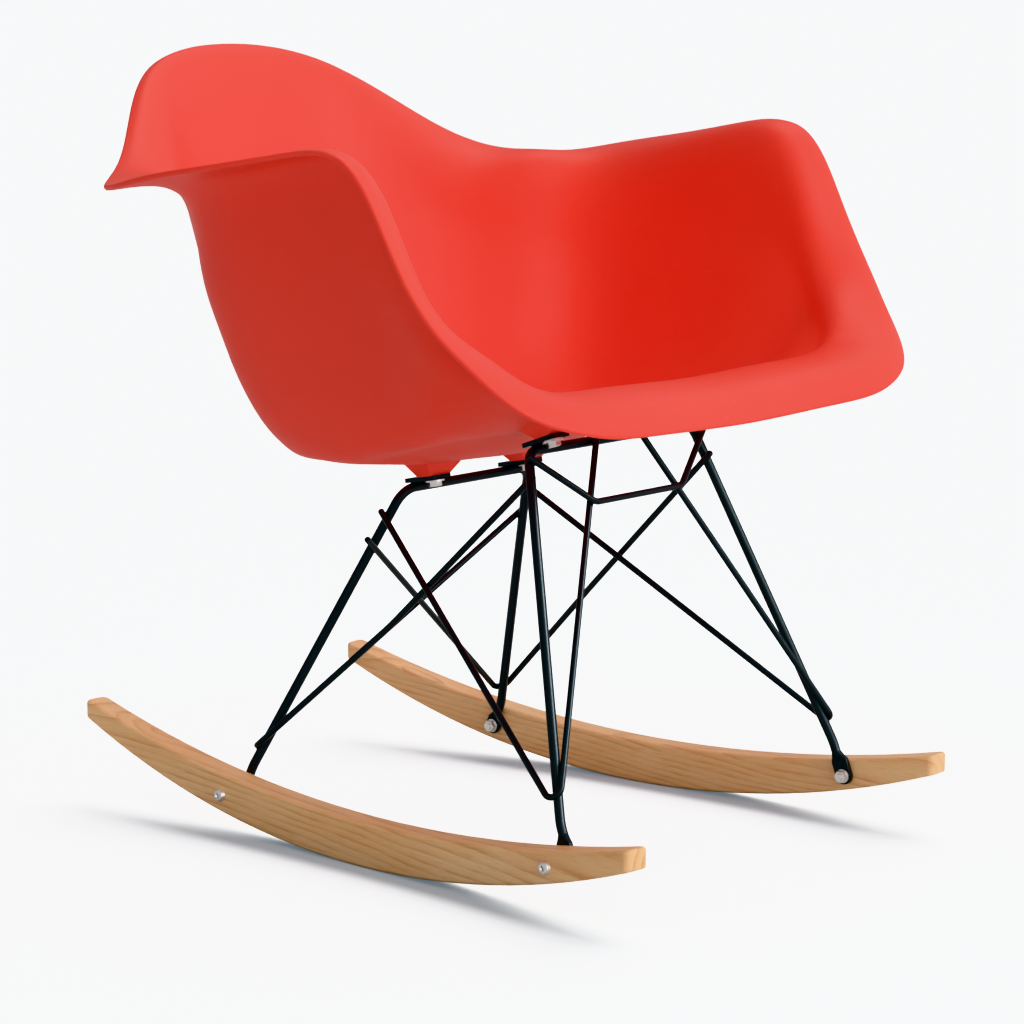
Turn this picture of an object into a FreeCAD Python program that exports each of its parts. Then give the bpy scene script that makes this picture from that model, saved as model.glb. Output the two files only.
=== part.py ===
import FreeCAD, Part
import math
import os

Vec = FreeCAD.Vector
doc = FreeCAD.newDocument("rocking_chair")

# Driving dimensions in millimetres and degrees. The chair faces -Y and stands on z = 0.
SIZES = [
    ("shell_width", 637.0, "over both arm rims"),
    ("shell_depth", 621.0, "front lip to top of back, level"),
    ("shell_rise", 352.0, "lowest seat point to top of back"),
    ("seat_low_height", 331.0, "floor to the lowest point of the seat"),
    ("shell_wall", 5.0, "wall of the moulding"),
    ("boss_height_front", 8.6, "front boss below the seat"),
    ("boss_height_rear", 12.2, "rear boss below the seat"),
    ("boss_foot_width", 25.0, "flat end of a boss, across"),
    ("boss_foot_depth", 16.0, "flat end of a boss, front to back"),
    ("boss_root_width", 50.0, "boss where it meets the seat, across"),
    ("boss_root_depth", 32.0, "boss where it meets the seat, front to back"),
    ("mount_spacing_front", 195.0, "between the front bolts"),
    ("mount_spacing_rear", 125.0, "between the rear bolts"),
    ("plate_tilt_front", 20.0, "degrees"),
    ("plate_tilt_rear", 10.0, "degrees"),
    ("plate_width", 25.0, "mounting plate, along the bar"),
    ("plate_length", 35.5, "mounting plate, across the bar"),
    ("plate_thickness", 4.0, "mounting plate"),
    ("bolt_offset", 17.5, "bolt centre in front of the bar centre"),
    ("plate_reach", 25.2, "plate behind the bolt centre"),
    ("bar_spacing", 165.4, "front bar to rear bar, level"),
    ("bar_setback", 53.2, "middle between the bars, in front of the shell's origin"),
    ("front_bar_length", 222.2, "between bend corners"),
    ("rear_bar_length", 168.8, "between bend corners"),
    ("rod_diameter", 8.5, "frame rod"),
    ("brace_diameter", 5.7, "brace rod"),
    ("front_bend_radius", 14.0, "centre line, front top bends"),
    ("rear_bend_radius", 20.0, "centre line, rear top bends"),
    ("foot_bend_radius", 45.0, "centre line, where a leg turns down the rocker"),
    ("front_turn_reach", 180.2, "front leg's lower bend, in front of the rocker origin"),
    ("front_turn_height", 69.8, "front leg's lower bend, above the floor"),
    ("rear_turn_reach", 194.0, "rear leg's lower bend, behind the rocker origin"),
    ("rear_turn_height", 54.6, "rear leg's lower bend, above the floor"),
    ("foot_width", 16.0, "flattened end of a leg"),
    ("foot_thickness", 5.0, "flattened end of a leg"),
    ("foot_edge_radius", 1.0, "softened edges of the flattened end"),
    ("rocker_base_radius", 925.0, "arc that rolls on the floor"),
    ("rocker_top_radius", 1410.0, "upper arc"),
    ("rocker_depth", 39.7, "at the middle"),
    ("rocker_base_middle", 28.0, "lowest point of the base arc, behind the rocker origin"),
    ("rocker_top_middle", 15.0, "lowest point of the upper arc, behind the rocker origin"),
    ("rocker_setback", 58.0, "rocker origin in front of the shell's origin"),
    ("rocker_front_reach", 281.0, "from the rocker origin to its front end"),
    ("rocker_rear_reach", 392.0, "from the rocker origin to its rear end"),
    ("rocker_thickness", 25.0, "across"),
    ("rocker_half_gap", 184.8, "mid plane to inner face at the rocker origin"),
    ("rocker_toe", 3.4, "degrees, the rockers close in to the rear"),
    ("front_loop_height", 87.0, "front leg inside the bend of its brace"),
    ("rear_loop_height", 67.5, "rear leg inside the bend of its brace"),
    ("front_side_strand_drop", 24.4, "front brace on the rear leg, below the rear bar"),
    ("front_face_strand_reach", 29.6, "front brace on the front bar, from the middle"),
    ("rear_left_strand_drop", 31.4, "rear left brace on the front leg, below the front bar"),
    ("rear_right_strand_drop", 16.8, "rear right brace on the front leg, below the front bar"),
    ("rear_face_strand_drop", 51.8, "rear brace on the other rear leg, below the rear bar"),
    ("front_side_strand_tail", 5.5, "front brace past its weld on the rear leg"),
    ("front_face_strand_tail", 8.0, "front brace past its weld on the front bar"),
    ("rear_left_strand_tail", 15.0, "rear left brace past its weld on the front leg"),
    ("rear_right_strand_tail", -2.5, "rear right brace past its weld on the front leg"),
    ("rear_left_strand_bow", 3.0, "rear left brace, bent inward half way to the front leg"),
    ("rear_right_strand_bow", 18.0, "rear right brace, bent inward half way to the front leg"),
    ("strand_bow_radius", 60.0, "centre line, where a strand is bent inward"),
    ("rear_face_strand_tail", 26.0, "rear brace past its weld on the other rear leg"),
    ("rod_end_radius", 1.6, "rounded end of a brace or of the cross rod"),
    ("cross_rod_corner", 58.9, "cross rod bend, from the middle"),
    ("cross_rod_drop", 45.7, "cross rod bend below the front bar"),
    ("cross_rod_reach", 30.4, "cross rod bend in front of the front bar"),
    ("cross_rod_bend_radius", 14.0, "centre line"),
    ("cross_rod_weld_drop", 9.0, "weld of the cross rod on a leg, below the front bar"),
    ("cross_rod_tail", 9.0, "cross rod past its weld"),
    ("loop_radius", 8.0, "centre line, bend of a brace"),
    ("rocker_edge_radius", 3.0, "rounded long edges"),
    ("rocker_end_radius", 7.0, "rounded end corners in plan"),
    ("front_screw_height", 40.5, "screw centre above the floor"),
    ("rear_screw_height", 32.5, "screw centre above the floor"),
    ("front_screw_reach", 191.0, "screw centre in front of the rocker origin"),
    ("rear_screw_reach", 204.0, "screw centre behind the rocker origin"),
    ("screw_diameter", 6.0, "rocker screw"),
    ("screw_head_diameter", 12.0, "rocker screw"),
    ("screw_head_height", 3.6, "rocker screw"),
    ("nut_flats", 10.0, "rocker nut across flats"),
    ("nut_height", 5.0, "rocker nut"),
    ("small_washer_diameter", 12.5, "under a rocker nut"),
    ("small_washer_thickness", 1.2, "under a rocker nut"),
    ("bolt_diameter", 6.0, "seat bolt"),
    ("bolt_flats", 11.0, "seat bolt head across flats"),
    ("bolt_head_height", 4.4, "seat bolt head"),
    ("bolt_length", 14.0, "seat bolt below the head"),
    ("washer_diameter", 18.0, "seat washer"),
    ("washer_thickness", 1.6, "seat washer"),
    ("insert_diameter", 9.5, "threaded insert"),
    ("insert_length", 9.0, "threaded insert"),
]
sheet = doc.addObject("Spreadsheet::Sheet", "Sizes")
for row, (name, value, note) in enumerate(SIZES, start=1):
    sheet.set("A%d" % row, name)
    sheet.set("B%d" % row, str(value))
    sheet.set("C%d" % row, note)
    sheet.setAlias("B%d" % row, name)
doc.recompute()


def size(name):
    return float(sheet.get(name))


def radians(name):
    return math.radians(size(name))


nodes = []


def keep(obj, label):
    obj.Label = label
    nodes.append(obj)
    return obj


def solid_node(label, shape, placement=None):
    obj = doc.addObject("Part::Feature", label)
    obj.Shape = shape
    if placement is not None:
        obj.Placement = placement
    return keep(obj, label)


def spline(ts, vs):
    """Natural cubic spline through the points (ts, vs)."""
    n = len(ts)
    h = [ts[i + 1] - ts[i] for i in range(n - 1)]
    m = [0.0] * n
    c = [0.0] * n
    d = [0.0] * n
    for i in range(1, n - 1):
        rhs = 6.0 * ((vs[i + 1] - vs[i]) / h[i] - (vs[i] - vs[i - 1]) / h[i - 1])
        den = 2.0 * (h[i - 1] + h[i]) - h[i - 1] * c[i - 1]
        c[i] = h[i] / den
        d[i] = (rhs - h[i - 1] * d[i - 1]) / den
    for i in range(n - 2, 0, -1):
        m[i] = d[i] - c[i] * m[i + 1]

    def at(t):
        i = 0
        while i < n - 2 and t > ts[i + 1]:
            i += 1
        a = (ts[i + 1] - t) / h[i]
        b = (t - ts[i]) / h[i]
        return (a * vs[i] + b * vs[i + 1]
                + ((a ** 3 - a) * m[i] + (b ** 3 - b) * m[i + 1]) * h[i] ** 2 / 6.0)
    return at


def dist(p, q):
    return math.sqrt(sum((a - b) ** 2 for a, b in zip(p, q)))


# Stations go round the sitter's left half of the shell, from the middle of the front lip to the
# middle of the back. Each gives, at the nominal size:
#   rim x, y, z; the roll of the rim: two points inward of the rim (inward, up); the edge of the
#   flat seat x, y, z; how square the curve from seat to wall is; how much the wall leans out.
# Heights are above the lowest point of the seat.
STATIONS = [
    # front lip, which falls away as a waterfall
    (0.0, -279.7, 53.0, 9.0, 17.0, 54.0, 29.0, 0.0, -118.0, 38.0, 2.0, 0.92),
    (125.2, -279.6, 55.8, 9.0, 17.0, 54.0, 29.0, 72.0, -115.0, 39.0, 2.0, 0.9),
    (233.5, -271.9, 71.4, 11.0, 15.0, 52.0, 24.0, 126.0, -107.0, 41.0, 2.1, 0.77),
    # front corner, where the lip climbs into the arm
    (262.5, -255.0, 85.5, 11.5, 13.0, 48.8, 20.8, 141.0, -100.0, 40.0, 2.15, 0.66),
    (278.0, -233.0, 107.0, 12.0, 9.0, 45.6, 12.4, 152.0, -90.0, 39.0, 2.2, 0.53),
    (296.0, -198.5, 144.5, 12.0, 5.0, 41.0, -3.2, 160.0, -76.0, 35.0, 2.3, 0.4),
    (304.5, -158.0, 207.4, 12.0, 3.0, 34.0, -8.0, 165.0, -61.0, 30.0, 2.4, 0.32),
    # nose of the arm
    (307.8, -110.0, 275.0, 12.0, 1.0, 32.0, -14.0, 166.0, -44.0, 25.0, 2.5, 0.27),
    # top of the arm
    (309.8, -48.8, 278.0, 14.0, -0.5, 34.0, -18.0, 165.5, -24.0, 18.5, 2.44, 0.24),
    (316.0, 34.0, 265.0, 16.0, -3.0, 38.0, -22.0, 162.0, 3.0, 9.5, 2.44, 0.3),
    (311.0, 120.0, 251.0, 18.0, -2.5, 49.0, -19.8, 152.0, 48.5, 8.0, 2.65, 0.36),
    # tail of the arm, where the rim turns into the back
    (284.0, 186.0, 240.6, 24.0, 5.0, 64.0, 1.0, 130.0, 79.5, 2.0, 2.4, 0.54),
    (230.0, 228.0, 254.0, 14.0, 1.0, 51.0, -20.0, 98.0, 105.5, 1.5, 2.28, 0.6),
    # back
    (169.5, 275.0, 293.8, 9.0, 1.0, 31.0, -20.0, 66.0, 118.0, -0.5, 2.34, 0.62),
    (110.0, 314.0, 330.5, 7.0, 1.0, 22.0, -18.0, 35.0, 122.0, -0.5, 2.34, 0.59),
    (0.0, 336.0, 348.0, 7.0, 1.0, 22.0, -18.0, 0.0, 125.5, -0.5, 2.31, 0.62),
]
SEAT_Y = -8.0
SEAT_RING = 30.0
SEAT_RING_Z = 1.0
SEAT_RING_SLOPE = -0.16
kx = (size("shell_width") - size("shell_wall")) / 632.0
ky = (size("shell_depth") - size("shell_wall")) / 616.0
kz = size("shell_rise") / 352.0
z_low = size("seat_low_height")
wall = size("shell_wall")


def shell_rings():
    """Rows of points from the middle of the seat to the rim, one point per station."""
    count = len(STATIONS)
    rim = [(s[0], s[1], s[2]) for s in STATIONS]
    ext = [(-rim[1][0], rim[1][1])] + [(p[0], p[1]) for p in rim] + [(-rim[-2][0], rim[-2][1])]
    ring0, ring1 = [], []
    walls = [[] for _ in range(9)]
    roll, edge = [], []
    for i, s in enumerate(STATIONS):
        tx = ext[i + 2][0] - ext[i][0]
        ty = ext[i + 2][1] - ext[i][1]
        length = math.hypot(tx, ty)
        ax, ay = -ty / length, tx / length
        dx, dy = s[7] - s[0], s[8] - s[1]
        length = math.hypot(dx, dy)
        ax += dx / length
        ay += dy / length
        length = math.hypot(ax, ay)
        ax, ay = ax / length, ay / length
        crest = (s[0] + ax * s[3], s[1] + ay * s[3], s[2] + s[4])
        top = (s[0] + ax * s[5], s[1] + ay * s[5], s[2] + s[6])
        seat = (s[7], s[8], s[9])
        length = math.hypot(seat[0], seat[1] - SEAT_Y)
        cx = seat[0] / length * SEAT_RING
        cy = SEAT_Y + (seat[1] - SEAT_Y) / length * SEAT_RING
        cz = SEAT_RING_Z + SEAT_RING_SLOPE * (cy - SEAT_Y)
        ring0.append((cx, cy, cz))
        ring1.append(((cx + seat[0]) / 2, (cy + seat[1]) / 2, (cz + seat[2]) / 2 - 2.5))
        power = 2.0 / s[10]
        lean = s[11]
        for k in range(9):
            a = math.radians(90.0 * k / 8)
            f = 1.0 if k == 8 else math.sin(a) ** power
            g = 1.0 if k == 8 else 1.0 - math.cos(a) ** power
            out = (1 - lean) * f + lean * g
            walls[k].append((seat[0] + (top[0] - seat[0]) * out,
                             seat[1] + (top[1] - seat[1]) * out,
                             seat[2] + (top[2] - seat[2]) * g))
        roll.append(crest)
        edge.append(rim[i])
    return [ring0, ring1] + walls + [roll, edge]


AROUND = 40
UP = 24


def shell_surface():
    """Dense smooth grid of the middle surface: grid[row][column], right half only."""
    rings = shell_rings()
    count = len(STATIONS)
    along = [0.0] * count
    for r in (6, -3, -1):
        total = 0.0
        for i in range(1, count):
            total += dist(rings[r][i], rings[r][i - 1])
            along[i] += total
    along = [a / along[-1] for a in along]
    dense = []
    pad = 4
    ts = ([-along[i] for i in range(pad, 0, -1)] + along
          + [2.0 - along[count - 1 - i] for i in range(1, pad + 1)])
    us = [j / float(AROUND) for j in range(AROUND + 1)]
    for ring in rings:
        axes = []
        for k in range(3):
            sign = -1.0 if k == 0 else 1.0
            vals = [p[k] for p in ring]
            vs = ([sign * vals[i] for i in range(pad, 0, -1)] + vals
                  + [sign * vals[count - 1 - i] for i in range(1, pad + 1)])
            f = spline(ts, vs)
            axes.append([f(u) for u in us])
        dense.append([(axes[0][j], axes[1][j], axes[2][j]) for j in range(AROUND + 1)])
    rows = len(dense)
    up = [0.0] * rows
    for j in range(0, AROUND + 1, 4):
        total = 0.0
        for r in range(1, rows):
            total += dist(dense[r][j], dense[r - 1][j])
            up[r] += total
    up = [a / up[-1] for a in up]
    grid = [[None] * (AROUND + 1) for _ in range(UP + 1)]
    slope = [[None] * (AROUND + 1) for _ in range(UP + 1)]
    for j in range(AROUND + 1):
        fs = [spline(up, [dense[r][j][k] for r in range(rows)]) for k in range(3)]
        for r in range(UP + 1):
            v = r / float(UP)
            p = [f(v) for f in fs]
            q = [fs[k](min(v + 0.004, 1.0)) - fs[k](max(v - 0.004, 0.0)) for k in range(3)]
            if j in (0, AROUND):
                p[0] = 0.0
                q[0] = 0.0
            grid[r][j] = Vec(p[0] * kx, SEAT_Y + (p[1] - SEAT_Y) * ky, z_low + p[2] * kz)
            slope[r][j] = Vec(q[0] * kx, q[1] * ky, q[2] * kz)
    return grid, slope


def shell_sides(grid, slope):
    """Offset the middle surface by half a wall both ways and close the rim with a half round."""
    half = wall / 2.0
    upper, lower, edge = [], [], []
    for r in range(UP + 1):
        urow, lrow = [], []
        for j in range(AROUND + 1):
            before = grid[r][j - 1] if j > 0 else Vec(-grid[r][1].x, grid[r][1].y, grid[r][1].z)
            if j < AROUND:
                after = grid[r][j + 1]
            else:
                last = grid[r][AROUND - 1]
                after = Vec(-last.x, last.y, last.z)
            normal = (after - before).cross(slope[r][j])
            if j in (0, AROUND):
                normal.x = 0.0
            normal.normalize()
            if r == 0:
                normal = Vec(0, -SEAT_RING_SLOPE, 1)
                normal.normalize()
            elif r == 1 and normal.z < 0:
                normal = normal * -1.0
            elif r > 1:
                prev = upper[-1][j] - grid[r - 1][j]
                if normal.dot(prev) < 0:
                    normal = normal * -1.0
            urow.append(grid[r][j] + normal * half)
            lrow.append(grid[r][j] - normal * half)
        upper.append(urow)
        lower.append(lrow)
    for angle in (60, 25, 0, -25, -60):
        a = math.radians(angle)
        row = []
        for j in range(AROUND + 1):
            out = Vec(slope[UP][j])
            out.normalize()
            normal = (upper[UP][j] - grid[UP][j]).normalize()
            row.append(grid[UP][j] + out * (half * math.cos(a)) + normal * (half * math.sin(a)))
        edge.append(row)
    return upper, edge, lower


grid, slope = shell_surface()
upper, edge, lower = shell_sides(grid, slope)


def seat_underside(x, y):
    """Height of the seat's underside near (x, y), from the three nearest grid points."""
    best = []
    for row in lower[:14]:
        for p in row:
            best.append((math.hypot(p.x - abs(x), p.y - y), p.z))
    best.sort()
    near = best[:4]
    weight = sum(1.0 / (d + 0.5) for d, z in near)
    return sum(z / (d + 0.5) for d, z in near) / weight


def closed_shell():
    """Closed solid: the swept left half and its mirror image in patches, and two flat patches."""
    left = Part.BSplineSurface()
    left.interpolate(upper + edge + lower[::-1])
    rows, columns = left.getUKnots(), left.getVKnots()
    across_rim = [rows[i] for i in (0, UP // 2, UP, UP + 6, UP + 6 + UP // 2, -1)]
    round_shell = [columns[i] for i in (0, AROUND // 4, AROUND // 2, 3 * AROUND // 4, -1)]
    origin, across = Vec(0, 0, 0), Vec(1, 0, 0)
    faces = []
    for u0, u1 in zip(across_rim, across_rim[1:]):
        for v0, v1 in zip(round_shell, round_shell[1:]):
            patch = left.copy()
            patch.segment(u0, u1, v0, v1)
            face = patch.toShape()
            faces += [face, face.mirror(origin, across)]
    for u in (across_rim[0], across_rim[-1]):
        arcs = []
        for v0, v1 in zip(round_shell, round_shell[1:]):
            arc = left.uIso(u).toShape(v0, v1)
            arcs += [arc, arc.mirror(origin, across)]
        faces.append(Part.Face(Part.Wire(Part.__sortEdges__(arcs))))
    shell = Part.makeShell(faces)
    shell.sewShape()
    solid = Part.makeSolid(shell)
    if solid.Volume < 0:
        solid.reverse()
    return solid


# Seat mounts: four bosses under the seat, each bolted to a plate on a frame bar.
front_bar_y = -size("bar_setback") - size("bar_spacing") / 2
rear_bar_y = -size("bar_setback") + size("bar_spacing") / 2
rod_r = size("rod_diameter") / 2
brace_r = size("brace_diameter") / 2
plate_t = size("plate_thickness")
offset = size("bolt_offset")


class Mount:
    """One seat mount: a tilted frame whose origin is the middle of the boss's flat end."""

    def __init__(self, name, x, bar_y, tilt, boss):
        self.name = name
        self.boss = boss
        self.slope = Vec(0, -math.cos(tilt), math.sin(tilt))
        self.up = Vec(0, math.sin(tilt), math.cos(tilt))
        lift = rod_r + plate_t
        y = bar_y + self.up.y * lift + self.slope.y * offset
        root_y = y + self.up.y * boss
        root_z = seat_underside(x, root_y)
        self.foot = Vec(x, y, root_z - self.up.z * boss)
        self.bar_z = self.foot.z - self.up.z * lift - self.slope.z * offset
        self.rotation = FreeCAD.Rotation(Vec(1, 0, 0), -self.slope, self.up, "ZXY")

    def at(self, across, along, height):
        return self.foot + Vec(across, 0, 0) + self.slope * along + self.up * height

    def placement(self, across, along, height):
        return FreeCAD.Placement(self.at(across, along, height), self.rotation)


mounts = []
for level, spacing, bar_y, tilt, boss in (
        ("front", "mount_spacing_front", front_bar_y, "plate_tilt_front", "boss_height_front"),
        ("rear", "mount_spacing_rear", rear_bar_y, "plate_tilt_rear", "boss_height_rear")):
    for side, sign in (("left", 1.0), ("right", -1.0)):
        mounts.append(Mount(level + "_" + side, sign * size(spacing) / 2, bar_y,
                            radians(tilt), size(boss)))
front_bar_z = mounts[0].bar_z
rear_bar_z = mounts[2].bar_z


def boss_solid(mount):
    """Tapered four-sided boss from its flat foot into the thickness of the seat."""
    fw, fd = size("boss_foot_width") / 2, size("boss_foot_depth") / 2
    rw, rd = size("boss_root_width") / 2, size("boss_root_depth") / 2
    corners = ((-1, -1), (1, -1), (1, 1), (-1, 1))
    foot = [mount.at(a * fw, b * fd, 0) for a, b in corners]
    root = []
    for a, b in corners:
        p = mount.at(a * rw, b * rd, mount.boss)
        root.append(Vec(p.x, p.y, seat_underside(p.x, p.y) + wall * 0.45))
    top = mount.at(0, 0, mount.boss)
    top.z = seat_underside(top.x, top.y) + wall * 0.5
    faces = [Part.Face(Part.makePolygon(foot + [foot[0]]))]
    for i in range(4):
        k = (i + 1) % 4
        faces.append(Part.makeRuledSurface(Part.makeLine(foot[i], foot[k]),
                                           Part.makeLine(root[i], root[k])))
        faces.append(Part.Face(Part.makePolygon([root[i], root[k], top, root[i]])))
    shell = Part.makeShell(faces)
    shell.sewShape()
    solid = Part.makeSolid(shell)
    if solid.Volume < 0:
        solid.reverse()
    return solid


moulding = doc.addObject("Part::Feature", "moulding")
moulding.Shape = closed_shell()
bosses = []
pockets = []
for mount in mounts:
    boss = doc.addObject("Part::Feature", "boss_" + mount.name)
    boss.Shape = boss_solid(mount)
    bosses.append(boss)
    pocket = doc.addObject("Part::Cylinder", "pocket_" + mount.name)
    pocket.setExpression("Radius", "Sizes.insert_diameter / 2")
    pocket.setExpression("Height", "Sizes.insert_length")
    pocket.Placement = mount.placement(0, 0, 0)
    pockets.append(pocket)
moulded = doc.addObject("Part::MultiFuse", "moulded")
moulded.Shapes = [moulding] + bosses
drilled = doc.addObject("Part::MultiFuse", "insert_pockets")
drilled.Shapes = pockets
seat_shell = doc.addObject("Part::Cut", "seat_shell")
seat_shell.Base = moulded
seat_shell.Tool = drilled
keep(seat_shell, "seat_shell")


def cylinder(name, radius, height):
    obj = doc.addObject("Part::Cylinder", name)
    obj.setExpression("Radius", radius)
    obj.setExpression("Height", height)
    return obj


def ring_node(label, outer, inner, height, placement):
    """A flat ring: outer and inner diameters and height are expressions on the sheet."""
    disc = cylinder(label + "_disc", "%s / 2" % outer, height)
    bore = cylinder(label + "_bore", "(%s) / 2" % inner, height)
    obj = doc.addObject("Part::Cut", label)
    obj.Base = disc
    obj.Tool = bore
    obj.Placement = placement
    return keep(obj, label)


def hexagon(label, flats, height):
    """Hexagonal prism with its far corners chamfered."""
    prism = doc.addObject("Part::Prism", label + "_prism")
    prism.Polygon = 6
    prism.setExpression("Circumradius", "%s / 2 / cos(30)" % flats)
    prism.setExpression("Height", height)
    cone = doc.addObject("Part::Cone", label + "_chamfer")
    cone.setExpression("Radius2", "%s * 0.475" % flats)
    cone.setExpression("Radius1", "%s * 0.475 + %s * 1.7" % (flats, height))
    cone.setExpression("Height", height)
    obj = doc.addObject("Part::Common", label + "_hexagon")
    obj.Base = prism
    obj.Tool = cone
    return obj


for mount in mounts:
    # mounting plate, welded on the bar, with its corners rounded
    plate = doc.addObject("Part::Box", "plate_" + mount.name)
    plate.setExpression("Length", "Sizes.plate_width")
    plate.setExpression("Width", "Sizes.plate_length")
    plate.setExpression("Height", "Sizes.plate_thickness")
    doc.recompute()
    rounded = doc.addObject("Part::Fillet", "plate_corners_" + mount.name)
    rounded.Base = plate
    upright = [i + 1 for i, e in enumerate(plate.Shape.Edges)
               if abs(e.Vertexes[0].Z - e.Vertexes[-1].Z) > plate_t / 2]
    rounded.Edges = [(i, 3.0, 3.0) for i in upright]
    hole = cylinder("plate_hole_" + mount.name, "Sizes.bolt_diameter / 2 + 0.3",
                    "Sizes.plate_thickness + 2")
    reach = size("plate_reach")
    hole.Placement = FreeCAD.Placement(
        Vec(size("plate_width") / 2, size("plate_length") - reach, -1), FreeCAD.Rotation())
    cut = doc.addObject("Part::Cut", "mounting_plate_" + mount.name)
    cut.Base = rounded
    cut.Tool = hole
    cut.Placement = mount.placement(-size("plate_width") / 2,
                                    size("plate_length") - reach, -plate_t)
    keep(cut, "mounting_plate_" + mount.name)

    ring_node("threaded_insert_" + mount.name, "Sizes.insert_diameter",
              "Sizes.bolt_diameter + 0.2", "Sizes.insert_length", mount.placement(0, 0, 0))
    ring_node("seat_washer_" + mount.name, "Sizes.washer_diameter",
              "Sizes.bolt_diameter + 0.5", "Sizes.washer_thickness",
              mount.placement(0, 0, -plate_t - size("washer_thickness")))

    head = hexagon("bolt_" + mount.name, "Sizes.bolt_flats", "Sizes.bolt_head_height")
    head.Placement = FreeCAD.Placement(Vec(0, 0, 0), FreeCAD.Rotation(Vec(1, 0, 0), 180))
    shank = cylinder("bolt_shank_" + mount.name, "Sizes.bolt_diameter / 2", "Sizes.bolt_length")
    bolt = doc.addObject("Part::Fuse", "seat_bolt_" + mount.name)
    bolt.Base = head
    bolt.Tool = shank
    bolt.Placement = mount.placement(0, 0, -plate_t - size("washer_thickness"))
    keep(bolt, "seat_bolt_" + mount.name)


# Rockers: two curved wooden runners that toe in towards the rear.
toe = radians("rocker_toe")
rocker_t = size("rocker_thickness")


class RockerFrame:
    """Places points by s along a rocker, n outward from its inner face and height z."""

    def __init__(self, side, sign):
        self.side = side
        self.sign = sign

    def at(self, s, n, z):
        x = size("rocker_half_gap") - s * math.sin(toe) + n * math.cos(toe)
        y = s * math.cos(toe) + n * math.sin(toe) - size("rocker_setback")
        return Vec(self.sign * x, y, z)

    def placement(self, s, n, z):
        turn = FreeCAD.Rotation(Vec(0, 0, 1), math.degrees(self.sign * toe))
        return FreeCAD.Placement(self.at(s, n, z), turn)

    def across(self, s, n, z, outward=True):
        """A frame whose local Z points outward from, or inward to, the chair."""
        out = Vec(self.sign * math.cos(toe), math.sin(toe), 0)
        if not outward:
            out = out * -1.0
        up = Vec(0, 0, 1)
        turn = FreeCAD.Rotation(up.cross(out), up, out, "ZXY")
        return FreeCAD.Placement(self.at(s, n, z), turn)


def arc_height(radius, middle, low, s):
    return low + radius - math.sqrt(radius ** 2 - (s - middle) ** 2)


sides = [RockerFrame("left", 1.0), RockerFrame("right", -1.0)]
screws = (("front", -size("front_screw_reach"), size("front_screw_height")),
          ("rear", size("rear_screw_reach"), size("rear_screw_height")))


def rocker_body(side):
    """Side profile of two arcs, padded across, with rounded ends and edges."""
    body = doc.addObject("PartDesign::Body", "rocker_" + side.side)
    sketch = body.newObject("Sketcher::SketchObject", "rocker_profile_" + side.side)
    plane = [f for f in body.Origin.OriginFeatures if f.Role == "YZ_Plane"][0]
    sketch.AttachmentSupport = [(plane, "")]
    sketch.MapMode = "FlatFace"
    base_r, top_r = size("rocker_base_radius"), size("rocker_top_radius")
    front, rear = -size("rocker_front_reach"), size("rocker_rear_reach")
    depth = size("rocker_depth")

    def base(s):
        return Vec(s, arc_height(base_r, size("rocker_base_middle"), 0.0, s), 0)

    def top(s):
        return Vec(s, arc_height(top_r, size("rocker_top_middle"), depth, s), 0)

    arcs = [Part.Arc(base(front), base((front + rear) / 2), base(rear)),
            Part.LineSegment(base(rear), top(rear)),
            Part.Arc(top(rear), top((front + rear) / 2), top(front)),
            Part.LineSegment(top(front), base(front))]
    for geometry in arcs:
        sketch.addGeometry(geometry, False)
    pad = body.newObject("PartDesign::Pad", "rocker_pad_" + side.side)
    pad.Profile = sketch
    pad.setExpression("Length", "Sizes.rocker_thickness")
    pad.SideType = "Symmetric"
    doc.recompute()
    corners = []
    for i, e in enumerate(pad.Shape.Edges):
        a, b = e.Vertexes[0].Point, e.Vertexes[-1].Point
        if abs(a.x - b.x) < 0.1 and e.Length < 2 * depth:
            corners.append("Edge%d" % (i + 1))
    ends = body.newObject("PartDesign::Fillet", "rocker_ends_" + side.side)
    ends.Base = (pad, corners)
    ends.setExpression("Radius", "Sizes.rocker_end_radius")
    doc.recompute()
    shape = ends.Shape
    outline = []
    for i, e in enumerate(shape.Edges):
        if e.Length > 2 * depth and abs(abs(e.Vertexes[0].X) - rocker_t / 2) < 0.1:
            outline.append("Edge%d" % (i + 1))
    rounded = body.newObject("PartDesign::Fillet", "rocker_edges_" + side.side)
    rounded.Base = (ends, outline)
    rounded.setExpression("Radius", "Sizes.rocker_edge_radius")
    doc.recompute()
    body.Tip = rounded
    return body


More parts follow.
